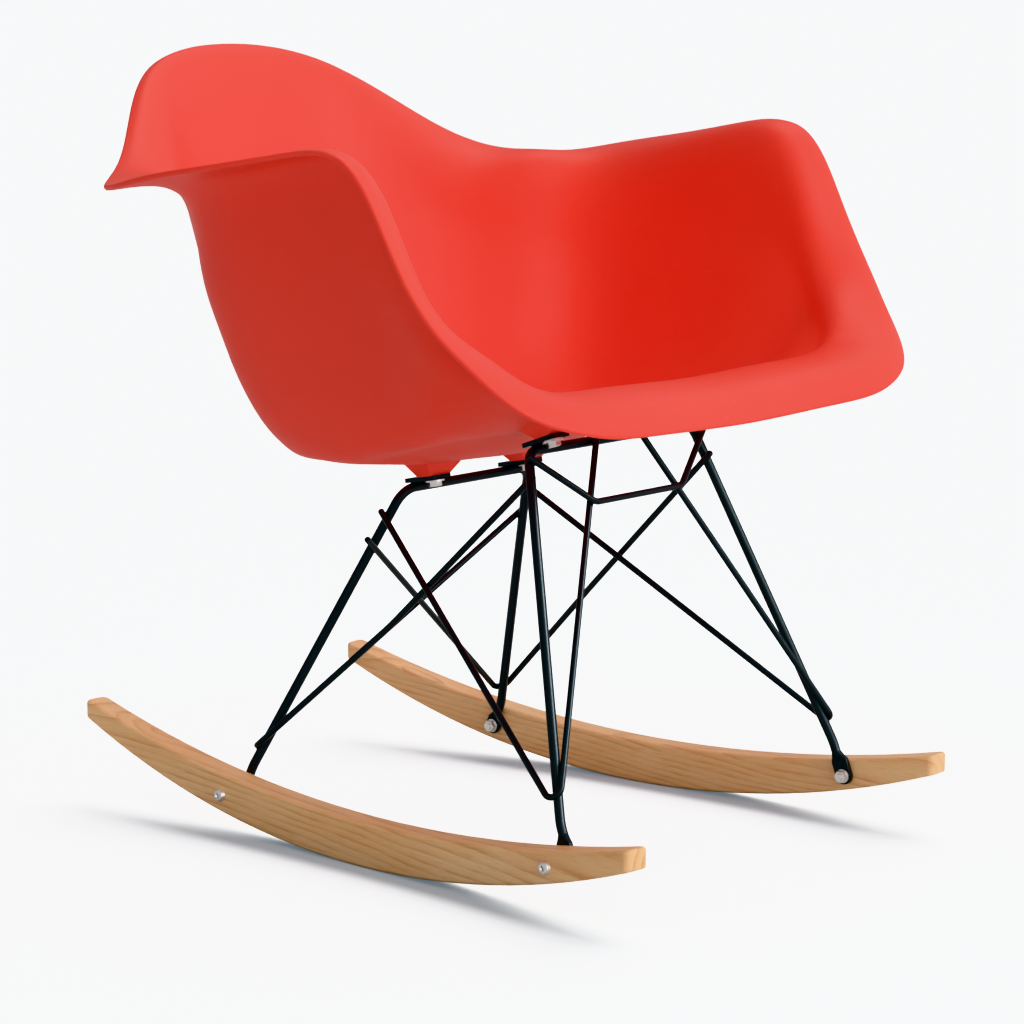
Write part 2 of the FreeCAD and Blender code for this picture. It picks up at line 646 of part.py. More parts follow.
for side in sides:
    body = rocker_body(side)
    bores = []
    for end, s, z in screws:
        bore = cylinder("screw_bore_%s_%s" % (side.side, end), "Sizes.screw_diameter / 2 + 0.2",
                        "Sizes.rocker_thickness + 4")
        bore.Placement = FreeCAD.Placement(Vec(-rocker_t / 2 - 2, s, z),
                                           FreeCAD.Rotation(Vec(0, 1, 0), 90))
        bores.append(bore)
    both = doc.addObject("Part::MultiFuse", "screw_bores_" + side.side)
    both.Shapes = bores
    rocker = doc.addObject("Part::Cut", side.side + "_rocker")
    rocker.Base = body
    rocker.Tool = both
    rocker.Placement = side.placement(0, rocker_t / 2, 0)
    keep(rocker, side.side + "_rocker")

    for end, s, z in screws:
        tag = "%s_%s" % (end, side.side)
        # pan head with a cross recess, outside
        head = doc.addObject("Part::Cone", "screw_head_" + tag)
        head.setExpression("Radius1", "Sizes.screw_head_diameter / 2")
        head.setExpression("Radius2", "Sizes.screw_head_diameter / 2 - 1")
        head.setExpression("Height", "Sizes.screw_head_height")
        doc.recompute()
        dome = doc.addObject("Part::Fillet", "screw_dome_" + tag)
        dome.Base = head
        top_edge = [i + 1 for i, e in enumerate(head.Shape.Edges)
                    if min(e.Vertexes[0].Z, e.Vertexes[-1].Z) > size("screw_head_height") / 2
                    and e.Closed]
        dome.Edges = [(i, 1.8, 1.8) for i in top_edge]
        slots = []
        for k in (0, 1):
            slot = doc.addObject("Part::Wedge", "screw_slot%d_%s" % (k, tag))
            slot.Xmin, slot.Xmax, slot.X2min, slot.X2max = -2.9, 2.9, -1.6, 1.6
            slot.Zmin, slot.Zmax, slot.Z2min, slot.Z2max = -0.65, 0.65, -0.4, 0.4
            slot.Ymin, slot.Ymax = -0.2, 2.4
            turn = FreeCAD.Rotation(Vec(1, 0, 0), -90)
            spin = FreeCAD.Rotation(Vec(0, 0, 1), 90.0 * k + 20.0)
            slot.Placement = FreeCAD.Placement(Vec(0, 0, size("screw_head_height")),
                                               spin.multiply(turn))
            slots.append(slot)
        cross = doc.addObject("Part::MultiFuse", "screw_cross_" + tag)
        cross.Shapes = slots
        cut_head = doc.addObject("Part::Cut", "screw_cut_head_" + tag)
        cut_head.Base = dome
        cut_head.Tool = cross
        shank = cylinder("screw_shank_" + tag, "Sizes.screw_diameter / 2",
                         "Sizes.rocker_thickness + Sizes.foot_thickness"
                         " + Sizes.small_washer_thickness + Sizes.nut_height + 2.5")
        shank.Placement = FreeCAD.Placement(Vec(0, 0, 0), FreeCAD.Rotation(Vec(1, 0, 0), 180))
        screw = doc.addObject("Part::Fuse", "rocker_screw_" + tag)
        screw.Base = cut_head
        screw.Tool = shank
        screw.Placement = side.across(s, rocker_t, z)
        keep(screw, "rocker_screw_" + tag)

        foot_t = size("foot_thickness")
        ring_node("rocker_washer_" + tag, "Sizes.small_washer_diameter",
                  "Sizes.screw_diameter + 0.4", "Sizes.small_washer_thickness",
                  side.across(s, -foot_t, z, False))
        blank = hexagon("nut_" + tag, "Sizes.nut_flats", "Sizes.nut_height")
        bore = cylinder("nut_bore_" + tag, "Sizes.screw_diameter / 2 + 0.05",
                        "Sizes.nut_height")
        nut = doc.addObject("Part::Cut", "rocker_nut_" + tag)
        nut.Base = blank
        nut.Tool = bore
        nut.Placement = side.across(s, -foot_t - size("small_washer_thickness"), z, False)
        keep(nut, "rocker_nut_" + tag)


# Bent rods: two frame rods, four braces and the cross rod.
def rod_path(points, radii):
    """Straight runs through the points, joined by tangent arcs of the given radii."""
    edges = []
    start = points[0]
    for i in range(1, len(points) - 1):
        p = points[i]
        a = (points[i - 1] - p).normalize()
        b = (points[i + 1] - p).normalize()
        half_turn = a.getAngle(b) / 2.0
        cut = radii[i - 1] / math.tan(half_turn)
        middle_dir = (a + b).normalize()
        middle = p + middle_dir * (radii[i - 1] / math.sin(half_turn) - radii[i - 1])
        first, last = p + a * cut, p + b * cut
        edges.append(Part.makeLine(start, first))
        edges.append(Part.Arc(first, middle, last).toShape())
        start = last
    edges.append(Part.makeLine(start, points[-1]))
    return Part.Wire(edges)


def rod_solid(points, radii, radius):
    path = rod_path(points, radii)
    along = (points[1] - points[0]).normalize()
    circle = Part.Wire([Part.makeCircle(radius, points[0], along)])
    solid = path.makePipeShell([circle], True, False)
    expected = math.pi * radius ** 2 * path.Length
    if abs(solid.Volume - expected) > 0.02 * expected:
        raise RuntimeError("rod volume %.0f, expected %.0f" % (solid.Volume, expected))
    return solid


def round_ends(rod, points):
    """Rounds the cut ends of a rod."""
    ends = [e for e in rod.Edges if e.Closed
            and min((e.CenterOfMass - points[0]).Length, (e.CenterOfMass - points[-1]).Length) < 0.01]
    return rod.makeFillet(size("rod_end_radius"), ends)


def section_wire(centre, wide, thin, width, thickness, corner):
    """Rounded rectangle of four corner arcs and four sides; equal sizes and corner = a circle."""
    w, t = width / 2, thickness / 2
    circle = abs(corner - w) < 1e-6
    k = math.sin(math.radians(10.0)) if circle else 0.0
    q = math.cos(math.radians(10.0)) if circle else 1.0
    half = math.sqrt(0.5)
    edges = []
    for i in range(4):
        a, b = ((1, 1), (-1, 1), (-1, -1), (1, -1))[i]
        c, d = ((-1, 1), (-1, -1), (1, -1), (1, 1))[i]
        if circle:
            ends = {"w": (a * q * w, b * k * w), "t": (a * k * w, b * q * w)}
            middle = (a * half * w, b * half * w)
        else:
            inset = corner * (1 - half)
            ends = {"w": (a * w, b * (t - corner)), "t": (a * (w - corner), b * t)}
            middle = (a * (w - inset), b * (t - inset))
        first, last = (ends["w"], ends["t"]) if i % 2 == 0 else (ends["t"], ends["w"])
        if i % 2 == 0:
            after = (c * k * w, d * q * w) if circle else (c * (w - corner), d * t)
            side = (0.0, b * w)
        else:
            after = (c * q * w, d * k * w) if circle else (c * w, d * (t - corner))
            side = (a * w, 0.0)
        spots = [centre + wide * u + thin * v for u, v in (first, middle, last, side, after)]
        edges.append(Part.Arc(spots[0], spots[1], spots[2]).toShape())
        if circle:
            edges.append(Part.Arc(spots[2], spots[3], spots[4]).toShape())
        else:
            edges.append(Part.makeLine(spots[2], spots[4]))
    return Part.Wire(edges)


def leg_foot(side, turn, screw_s, screw_z):
    """Where a leg turns down the rocker's face, and its flattened, drilled end."""
    fw, ft = size("foot_width"), size("foot_thickness")
    soft = size("foot_edge_radius")
    turn_point = side.at(turn[0], -rod_r, turn[1])
    screw_point = side.at(screw_s, -ft / 2, screw_z)
    screw_mid = side.at(screw_s, -rod_r, screw_z)
    down = (screw_mid - turn_point).normalize()
    outward = (side.at(0, 1, 0) - side.at(0, 0, 0)).normalize()
    wide = down.cross(outward).normalize()
    start = turn_point + down * 8.5
    flat_start = turn_point + down * 17.0 + outward * (rod_r - ft / 2)
    d = size("rod_diameter")
    sections = [section_wire(start, wide, outward, d, d, rod_r),
                section_wire((start + flat_start) * 0.5, wide, outward,
                             (d + fw) / 2 - 0.6, (d + ft) / 2, (d + ft) / 4 - 0.6),
                section_wire(flat_start, wide, outward, fw, ft, soft)]
    neck = Part.makeLoft(sections, True, True)
    low = outward * (-ft / 2)
    half = fw / 2
    corners = [flat_start + wide * half + low, screw_point + wide * half + low,
               screw_point + down * half + low, screw_point - wide * half + low,
               flat_start - wide * half + low]
    outline = Part.Wire([Part.makeLine(corners[0], corners[1]),
                         Part.Arc(corners[1], corners[2], corners[3]).toShape(),
                         Part.makeLine(corners[3], corners[4]),
                         Part.makeLine(corners[4], corners[0])])
    tongue = Part.Face(outline).extrude(outward * ft)
    rims = []
    for e in tongue.Edges:
        mid = e.valueAt((e.FirstParameter + e.LastParameter) / 2)
        level = abs((mid - flat_start).dot(outward))
        if abs(level - ft / 2) < 0.01 and (mid - flat_start).dot(down) > 0.5:
            rims.append(e)
    tongue = tongue.makeFillet(soft, rims)
    foot = neck.fuse(tongue)
    hole = Part.makeCylinder(size("screw_diameter") / 2 + 0.25, ft + 4,
                             screw_point - outward * (ft / 2 + 2), outward)
    return turn_point, start, foot, hole


def frame_rod(label, half_bar, bar_y, bar_z, bend, turn, screw):
    corner_left = Vec(half_bar, bar_y, bar_z)
    corner_right = Vec(-half_bar, bar_y, bar_z)
    tl, sl, foot_l, hole_l = leg_foot(sides[0], turn, screw[1], screw[2])
    tr, sr, foot_r, hole_r = leg_foot(sides[1], turn, screw[1], screw[2])
    foot_bend = size("foot_bend_radius")
    rod = rod_solid([sl, tl, corner_left, corner_right, tr, sr],
                    [foot_bend, bend, bend, foot_bend], rod_r)
    shape = rod.fuse([foot_l, foot_r]).cut([hole_l, hole_r]).removeSplitter()
    solid_node(label, shape)
    return corner_left, tl


front_corner, front_turn = frame_rod("front_frame_rod", size("front_bar_length") / 2,
                                     front_bar_y, front_bar_z, size("front_bend_radius"),
                                     (-size("front_turn_reach"), size("front_turn_height")),
                                     screws[0])
rear_corner, rear_turn = frame_rod("rear_frame_rod", size("rear_bar_length") / 2,
                                   rear_bar_y, rear_bar_z, size("rear_bend_radius"),
                                   (size("rear_turn_reach"), size("rear_turn_height")),
                                   screws[1])

weld = rod_r + brace_r + 0.1


def mirror_x(p):
    return Vec(-p.x, p.y, p.z)


def on_leg(corner, turn, z):
    k = (z - corner.z) / (turn.z - corner.z)
    return corner + (turn - corner) * k


def aside(leg_dir, strand_dir, toward):
    """Unit vector square to both rods, on the side that toward points to."""
    n = leg_dir.cross(strand_dir).normalize()
    return n if n.dot(toward) > 0 else n * -1.0


def brace(label, leg, outward, end_a, end_b, mirrored, bow=0.0):
    """V-bent rod: loops round the outer side of a leg, with two strands to its ends."""
    into = ((end_a - leg).normalize() + (end_b - leg).normalize()).normalize()
    n = (end_a - leg).cross(end_b - leg).normalize()
    if n.dot(outward) < 0:
        n = n * -1.0
    apex = leg + n * weld
    half = (end_a - apex).getAngle(end_b - apex) / 2.0
    bend = size("loop_radius")
    vertex = apex - into * (bend / math.sin(half) - bend)
    points, radii = [end_a, vertex, end_b], [bend]
    if bow:
        middle = vertex + (end_a - vertex) * 0.47
        points.insert(1, Vec(middle.x - bow, middle.y, middle.z))
        radii.insert(0, size("strand_bow_radius"))
    if mirrored:
        points = [mirror_x(p) for p in points]
    solid_node(label, round_ends(rod_solid(points, radii, brace_r), points))


front_dir = (front_corner - front_turn).normalize()
rear_dir = (rear_corner - rear_turn).normalize()
front_loop = on_leg(front_corner, front_turn, size("front_loop_height"))
rear_loop = on_leg(rear_corner, rear_turn, size("rear_loop_height"))

for side in sides:
    mirrored = side.sign < 0
    # front leg: one strand back to the rear leg's top, one up to the front bar
    target = on_leg(rear_corner, rear_turn, rear_bar_z - size("front_side_strand_drop"))
    run = (target - front_loop).normalize()
    hold = target + aside(rear_dir, run, Vec(1, 0, 0)) * weld
    end_a = hold + (hold - front_loop).normalize() * size("front_side_strand_tail")
    bar_point = Vec(size("front_face_strand_reach"), front_bar_y, front_bar_z)
    run = (bar_point - front_loop).normalize()
    hold = bar_point + aside(Vec(1, 0, 0), run, Vec(0, -1, 0)) * weld
    end_b = hold + (hold - front_loop).normalize() * size("front_face_strand_tail")
    brace("front_%s_brace" % side.side, front_loop, Vec(1, -1, 0), end_a, end_b, mirrored)
    # rear leg: one strand forward to the front leg's top, one across to the other rear leg
    which = "rear_%s_strand_" % side.side
    target = on_leg(front_corner, front_turn, front_bar_z - size(which + "drop"))
    run = (target - rear_loop).normalize()
    hold = target + aside(front_dir, run, Vec(-1, 0, 0)) * weld
    end_a = hold + (hold - rear_loop).normalize() * size(which + "tail")
    target = mirror_x(on_leg(rear_corner, rear_turn, rear_bar_z - size("rear_face_strand_drop")))
    run = (target - rear_loop).normalize()
    back = 1.0 if mirrored else -1.0
    far_dir = mirror_x(rear_dir)
    hold = target + aside(far_dir, run, Vec(0, back, 0)) * weld
    end_b = hold + (hold - rear_loop).normalize() * size("rear_face_strand_tail")
    brace("rear_%s_brace" % side.side, rear_loop, Vec(1, 1, 0), end_a, end_b, mirrored,
          size(which + "bow"))

# cross rod: hangs between the tops of the front legs, in front of the two braces
end_left = on_leg(front_corner, front_turn, front_bar_z - size("cross_rod_weld_drop"))
corner = Vec(size("cross_rod_corner"), front_bar_y - size("cross_rod_reach"),
             front_bar_z - size("cross_rod_drop"))
hold = end_left + aside(front_dir, (corner - end_left).normalize(), Vec(0, -1, 0)) * weld
tip = hold + (hold - corner).normalize() * size("cross_rod_tail")
points = [tip, corner, mirror_x(corner), mirror_x(tip)]
cross_rod = rod_solid(points, [size("cross_rod_bend_radius")] * 2, brace_r)
solid_node("front_cross_rod", round_ends(cross_rod, points))

doc.recompute()

problems = []
for obj in doc.Objects:
    state = [str(x) for x in obj.State]
    if any(x in ("Invalid", "Error") for x in state):
        problems.append("%s %s" % (obj.Name, state))
for obj in nodes:
    shape = obj.Shape
    if shape.isNull() or not shape.isValid():
        problems.append("bad shape " + obj.Label)
    elif len(shape.Solids) != 1:
        problems.append("%s has %d solids" % (obj.Label, len(shape.Solids)))
if problems:
    raise RuntimeError("; ".join(problems))

os.makedirs("parts", exist_ok=True)
for obj in nodes:
    obj.Shape.exportStep("parts/%s.step" % obj.Label)
print(len(nodes), "nodes")
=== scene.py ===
from math import radians

import bpy
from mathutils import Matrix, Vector


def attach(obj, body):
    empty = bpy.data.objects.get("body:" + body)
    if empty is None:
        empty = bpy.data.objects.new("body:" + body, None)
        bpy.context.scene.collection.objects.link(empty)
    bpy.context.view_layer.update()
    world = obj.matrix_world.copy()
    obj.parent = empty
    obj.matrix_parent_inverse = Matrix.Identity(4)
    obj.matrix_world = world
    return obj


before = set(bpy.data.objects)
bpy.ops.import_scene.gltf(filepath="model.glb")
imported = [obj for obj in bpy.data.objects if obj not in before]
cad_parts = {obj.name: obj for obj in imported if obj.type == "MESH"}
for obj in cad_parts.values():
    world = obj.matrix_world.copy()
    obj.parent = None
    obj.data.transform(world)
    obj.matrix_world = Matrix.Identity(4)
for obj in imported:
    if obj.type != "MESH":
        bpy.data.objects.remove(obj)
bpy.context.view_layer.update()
bpy.ops.object.select_all(action="DESELECT")


def set_up_camera():
    """A long lens, low in front of the sitter's right arm."""
    bpy.ops.object.camera_add(location=(-2.3114, -1.9978, 0.7807),
                              rotation=(radians(80.64), 0, radians(-49.49)))
    camera = bpy.context.object
    camera.name = "chair_camera"
    camera.data.lens = 122.56
    camera.data.sensor_width = 36.0
    camera.data.clip_end = 400.0
    bpy.context.scene.camera = camera


def soft_sun(name, direction, strength, width, colour):
    """A far lamp whose light comes from the given direction, as wide as the angle says."""
    bpy.ops.object.light_add(type="SUN", location=(0, 0, 3))
    lamp = bpy.context.object
    lamp.name = name
    lamp.rotation_euler = Vector(direction).to_track_quat("Z", "Y").to_euler()
    lamp.data.energy = strength
    lamp.data.angle = radians(width)
    lamp.data.color = colour
    return lamp


def light_the_studio():
    """A pale room, darker behind the chair's back and right arm, with a broad lamp low in
    front of the seat and a weaker one overhead. The camera sees the room as plain white."""
    world = bpy.data.worlds.new("pale_studio")
    bpy.context.scene.world = world
    world.use_nodes = True
    tree = world.node_tree
    room = tree.nodes["Background"]
    white = add_node(tree, "ShaderNodeBackground")
    white.inputs["Strength"].default_value = 1.52
    for colour in (room.inputs["Color"], white.inputs["Color"]):
        colour.default_value = (1.0, 1.0, 1.0, 1.0)
    place = add_node(tree, "ShaderNodeTexCoord")
    toward = add_node(tree, "ShaderNodeVectorMath", operation="DOT_PRODUCT")
    toward.inputs[1].default_value = (0.30, -0.92, 0.26)
    tree.links.new(place.outputs["Generated"], toward.inputs[0])
    brightness = spread(tree, toward.outputs["Value"], -0.8, 0.9, 0.34, 0.78)
    tree.links.new(brightness, room.inputs["Strength"])
    path = add_node(tree, "ShaderNodeLightPath")
    mix = add_node(tree, "ShaderNodeMixShader")
    tree.links.new(path.outputs["Is Camera Ray"], mix.inputs[0])
    tree.links.new(room.outputs[0], mix.inputs[1])
    tree.links.new(white.outputs[0], mix.inputs[2])
    tree.links.new(mix.outputs[0], tree.nodes["World Output"].inputs["Surface"])
    soft_sun("front_lamp", direction=(-0.02, -0.95, 0.25), strength=1.6, width=44,
             colour=(1.0, 0.985, 0.96))
    soft_sun("top_lamp", direction=(0.30, 0.10, 1.0), strength=0.7, width=40,
             colour=(1.0, 1.0, 1.0))
    bpy.context.scene.view_settings.view_transform = "Khronos PBR Neutral"


def new_group(name, inputs, outputs):
    """An empty shader group with its sockets. A socket is (name, kind, value)."""
    group = bpy.data.node_groups.new(name, "ShaderNodeTree")
    for label, kind, value in inputs:
        socket = group.interface.new_socket(label, in_out="INPUT", socket_type=kind)
        if value is not None:
            socket.default_value = value
    for label, kind in outputs:
        group.interface.new_socket(label, in_out="OUTPUT", socket_type=kind)
    start = group.nodes.new("NodeGroupInput")
    end = group.nodes.new("NodeGroupOutput")
    return group, start, end


def add_node(tree, kind, **settings):
    """A new node with its settings made."""
    node = tree.nodes.new(kind)
    for key, value in settings.items():
        setattr(node, key, value)
    return node


def noise(tree, vector, scale, detail=3.0, rough=0.5):
    """Soft noise. The scale is a number or a socket."""
    node = add_node(tree, "ShaderNodeTexNoise")
    node.inputs["Detail"].default_value = detail
    node.inputs["Roughness"].default_value = rough
    tree.links.new(vector, node.inputs["Vector"])
    if isinstance(scale, (int, float)):
        node.inputs["Scale"].default_value = scale
    else:
        tree.links.new(scale, node.inputs["Scale"])
    return node.outputs["Fac"]


def spread(tree, value, low, high, to_low=0.0, to_high=1.0):
    """Stretches a value's range low..high over to_low..to_high."""
    node = add_node(tree, "ShaderNodeMapRange")
    node.inputs["From Min"].default_value = low
    node.inputs["From Max"].default_value = high
    node.inputs["To Min"].default_value = to_low
    node.inputs["To Max"].default_value = to_high
    tree.links.new(value, node.inputs["Value"])
    return node.outputs["Result"]


def calc(tree, operation, *values):
    """One sum on values, each a number or a socket."""
    node = add_node(tree, "ShaderNodeMath", operation=operation)
    for number, value in enumerate(values):
        if isinstance(value, (int, float)):
            node.inputs[number].default_value = value
        else:
            tree.links.new(value, node.inputs[number])
    return node.outputs[0]


def blend_colours(tree, fac, first, second):
    """Mixes two colours, each a tuple or a socket."""
    node = add_node(tree, "ShaderNodeMix", data_type="RGBA")
    tree.links.new(fac, node.inputs[0])
    for socket, colour in ((node.inputs[6], first), (node.inputs[7], second)):
        if isinstance(colour, tuple):
            socket.default_value = (*colour, 1.0)
        else:
            tree.links.new(colour, socket)
    return node.outputs[2]


def make_fine_texture():
    """The mould or powder texture of a surface: a tone mask, a gloss mask and a height."""
    group, start, end = new_group(
        "fine_texture",
        [("Vector", "NodeSocketVector", None), ("Grain", "NodeSocketFloat", 900.0),
         ("Drift", "NodeSocketFloat", 6.0)],
        [("Tone", "NodeSocketFloat"), ("Gloss", "NodeSocketFloat"), ("Height", "NodeSocketFloat")])
    vector = start.outputs["Vector"]
    grain = noise(group, vector, start.outputs["Grain"], 2.0, 0.6)
    drift = noise(group, vector, start.outputs["Drift"], 3.0, 0.45)
    half = calc(group, "MULTIPLY", start.outputs["Grain"], 0.35)
    ripple = noise(group, vector, half, 1.0, 0.4)
    height = calc(group, "ADD", calc(group, "MULTIPLY", grain, 0.6),
                  calc(group, "MULTIPLY", ripple, 0.4))
    tone = spread(group, drift, 0.3, 0.7)
    gloss = calc(group, "ADD", calc(group, "MULTIPLY", tone, 0.6),
                 calc(group, "MULTIPLY", grain, 0.4))
    group.links.new(tone, end.inputs["Tone"])
    group.links.new(gloss, end.inputs["Gloss"])
    group.links.new(height, end.inputs["Height"])
    return group


def make_handling_wear():
    """Dust specks and thin scuffs that a used surface carries."""
    group, start, end = new_group(
        "handling_wear",
        [("Vector", "NodeSocketVector", None), ("Amount", "NodeSocketFloat", 0.5)],
        [("Specks", "NodeSocketFloat"), ("Scuffs", "NodeSocketFloat")])
    vector = start.outputs["Vector"]
    cells = add_node(group, "ShaderNodeTexVoronoi")
    cells.inputs["Scale"].default_value = 140.0
    group.links.new(vector, cells.inputs["Vector"])
    near = spread(group, cells.outputs["Distance"], 0.10, 0.02)
    patch = spread(group, noise(group, vector, 9.0, 2.0), 0.52, 0.7)
    specks = calc(group, "MULTIPLY", near, patch)
    specks = calc(group, "MULTIPLY", specks, start.outputs["Amount"])
    turn = add_node(group, "ShaderNodeMapping")
    turn.inputs["Rotation"].default_value = (0.5, 0.3, 0.9)
    turn.inputs["Scale"].default_value = (60.0, 2.2, 60.0)
    group.links.new(vector, turn.inputs["Vector"])
    lines = spread(group, noise(group, turn.outputs["Vector"], 4.0, 2.0, 0.6), 0.67, 0.75)
    where = spread(group, noise(group, vector, 5.0, 2.0), 0.5, 0.66)
    scuffs = calc(group, "MULTIPLY", lines, where)
    scuffs = calc(group, "MULTIPLY", scuffs, start.outputs["Amount"])
    group.links.new(specks, end.inputs["Specks"])
    group.links.new(scuffs, end.inputs["Scuffs"])
    return group


def make_board_grain():
    """Flat-sawn hardwood along Y. Growth rings round a pith that lies level inside the board
    and tapers forward, so that the lines close in arches near both ends of a rocker."""
    group, start, end = new_group(
        "board_grain",
        [("Vector", "NodeSocketVector", None), ("Rings", "NodeSocketFloat", 170.0),
         ("Pith Height", "NodeSocketFloat", 0.062)],
        [("Latewood", "NodeSocketFloat"), ("Pores", "NodeSocketFloat"),
         ("Drift", "NodeSocketFloat"), ("Height", "NodeSocketFloat")])
    vector = start.outputs["Vector"]
    long_way = add_node(group, "ShaderNodeMapping")
    long_way.inputs["Scale"].default_value = (1.0, 0.22, 1.0)
    group.links.new(vector, long_way.inputs["Vector"])
    sway = noise(group, long_way.outputs["Vector"], 16.0, 2.0, 0.5)
    parts = add_node(group, "ShaderNodeSeparateXYZ")
    group.links.new(vector, parts.inputs[0])
    x, y, z = parts.outputs
    depth = calc(group, "SUBTRACT", z, start.outputs["Pith Height"])
    depth = calc(group, "SUBTRACT", depth, calc(group, "MULTIPLY", y, 0.035))
    depth = calc(group, "ADD", depth, calc(group, "MULTIPLY", sway, 0.030))
    depth = calc(group, "SUBTRACT", depth, 0.015)
    side = calc(group, "SUBTRACT", calc(group, "ABSOLUTE", x), 0.172)
    side = calc(group, "MULTIPLY", side, 0.55)
    away = calc(group, "SQRT", calc(group, "ADD", calc(group, "MULTIPLY", depth, depth),
                                    calc(group, "MULTIPLY", side, side)))
    turns = calc(group, "ADD", away, calc(group, "MULTIPLY", y, 0.05))
    turns = calc(group, "MULTIPLY", turns, start.outputs["Rings"])
    fine = add_node(group, "ShaderNodeMapping")
    fine.inputs["Scale"].default_value = (1.0, 0.03, 1.0)
    group.links.new(vector, fine.inputs["Vector"])
    fibre = noise(group, fine.outputs["Vector"], 330.0, 3.0, 0.6)
    turns = calc(group, "ADD", turns, calc(group, "MULTIPLY", fibre, 0.28))
    ring = calc(group, "FRACT", turns)
    late = calc(group, "MULTIPLY", calc(group, "POWER", spread(group, ring, 0.1, 0.93), 2.6),
                spread(group, ring, 1.0, 0.93))
    patches = noise(group, long_way.outputs["Vector"], 75.0, 2.0, 0.5)
    late = calc(group, "MULTIPLY", late, spread(group, patches, 0.34, 0.62, 0.25, 1.0))
    pores = spread(group, noise(group, fine.outputs["Vector"], 900.0, 2.0, 0.6), 0.50, 0.74)
    drift = noise(group, long_way.outputs["Vector"], 22.0, 3.0, 0.55)
    height = calc(group, "SUBTRACT", calc(group, "MULTIPLY", late, 0.4), pores)
    group.links.new(late, end.inputs["Latewood"])
    group.links.new(pores, end.inputs["Pores"])
    group.links.new(drift, end.inputs["Drift"])
    group.links.new(height, end.inputs["Height"])
    return group


def new_material(name):
    """A material with its tree, its shader and the object's own coordinates."""
    material = bpy.data.materials.new(name)
    material.use_nodes = True
    tree = material.node_tree
    shader = tree.nodes["Principled BSDF"]
    place = add_node(tree, "ShaderNodeTexCoord")
    return material, tree, shader, place.outputs["Object"]


def place_group(tree, group, vector, **values):
    """Puts a shared effect in a material, with its values set."""
    node = add_node(tree, "ShaderNodeGroup", node_tree=group)
    tree.links.new(vector, node.inputs["Vector"])
    for key, value in values.items():
        node.inputs[key].default_value = value
    return node


def add_bump(tree, shader, height, strength, distance):
    """Raises the surface by a height, in metres."""
    bump = add_node(tree, "ShaderNodeBump")
    bump.inputs["Strength"].default_value = strength
    bump.inputs["Distance"].default_value = distance
    tree.links.new(height, bump.inputs["Height"])
    tree.links.new(bump.outputs["Normal"], shader.inputs["Normal"])


def feed_shader(tree, shader, colour, gloss, rough_low, rough_high):
    """Feeds the colour, and a gloss mask turned into roughness."""
    tree.links.new(colour, shader.inputs["Base Color"])
    gloss = spread(tree, gloss, 0.0, 1.0, rough_low, rough_high)
    tree.links.new(gloss, shader.inputs["Roughness"])


def moulded_plastic(texture, wear):
    """Orange red polypropylene, through-coloured, with the mould's fine satin texture."""
    material, tree, shader, vector = new_material("moulded_red_plastic")
    skin = place_group(tree, texture, vector, Grain=1500.0, Drift=5.0)
    marks = place_group(tree, wear, vector, Amount=0.35)
    colour = blend_colours(tree, skin.outputs["Tone"],
                           (0.86, 0.081, 0.060), (0.90, 0.090, 0.066))
    colour = blend_colours(tree, marks.outputs["Scuffs"], colour, (0.90, 0.16, 0.12))
    colour = blend_colours(tree, marks.outputs["Specks"], colour, (0.55, 0.05, 0.04))
    feed_shader(tree, shader, colour, skin.outputs["Gloss"], 0.44, 0.54)
    shader.inputs["IOR"].default_value = 1.49
    shader.inputs["Specular IOR Level"].default_value = 0.28
    add_bump(tree, shader, skin.outputs["Height"], 0.10, 0.0006)
    return material


def powder_coat(texture, wear):
    """Satin black powder coat with its fine orange-peel."""
    material, tree, shader, vector = new_material("black_powder_coat")
    skin = place_group(tree, texture, vector, Grain=1900.0, Drift=22.0)
    marks = place_group(tree, wear, vector, Amount=0.5)
    colour = blend_colours(tree, skin.outputs["Tone"],
                           (0.005, 0.006, 0.007), (0.009, 0.011, 0.013))
    colour = blend_colours(tree, marks.outputs["Scuffs"], colour, (0.06, 0.06, 0.06))
    feed_shader(tree, shader, colour, skin.outputs["Gloss"], 0.26, 0.36)
    shader.inputs["IOR"].default_value = 1.5
    shader.inputs["Specular IOR Level"].default_value = 0.34
    shader.inputs["Specular Tint"].default_value = (0.72, 0.93, 1.0, 1.0)
    add_bump(tree, shader, skin.outputs["Height"], 0.12, 0.00012)
    return material


def lacquered_hardwood(grain, wear):
    """Light brown hardwood under a clear satin lacquer."""
    material, tree, shader, vector = new_material("lacquered_hardwood")
    board = place_group(tree, grain, vector, Rings=175.0)
    marks = place_group(tree, wear, vector, Amount=0.4)
    tint = spread(tree, board.outputs["Drift"], 0.36, 0.64)
    colour = blend_colours(tree, tint, (0.87, 0.515, 0.255), (0.91, 0.605, 0.330))
    late = calc(tree, "MULTIPLY", board.outputs["Latewood"], 0.78)
    colour = blend_colours(tree, late, colour, (0.64, 0.275, 0.100))
    pores = calc(tree, "MULTIPLY", board.outputs["Pores"], 0.30)
    colour = blend_colours(tree, pores, colour, (0.56, 0.28, 0.13))
    colour = blend_colours(tree, marks.outputs["Scuffs"], colour, (0.76, 0.50, 0.29))
    feed_shader(tree, shader, colour, board.outputs["Latewood"], 0.46, 0.36)
    shader.inputs["Specular IOR Level"].default_value = 0.4
    add_bump(tree, shader, board.outputs["Height"], 0.15, 0.0003)
    return material


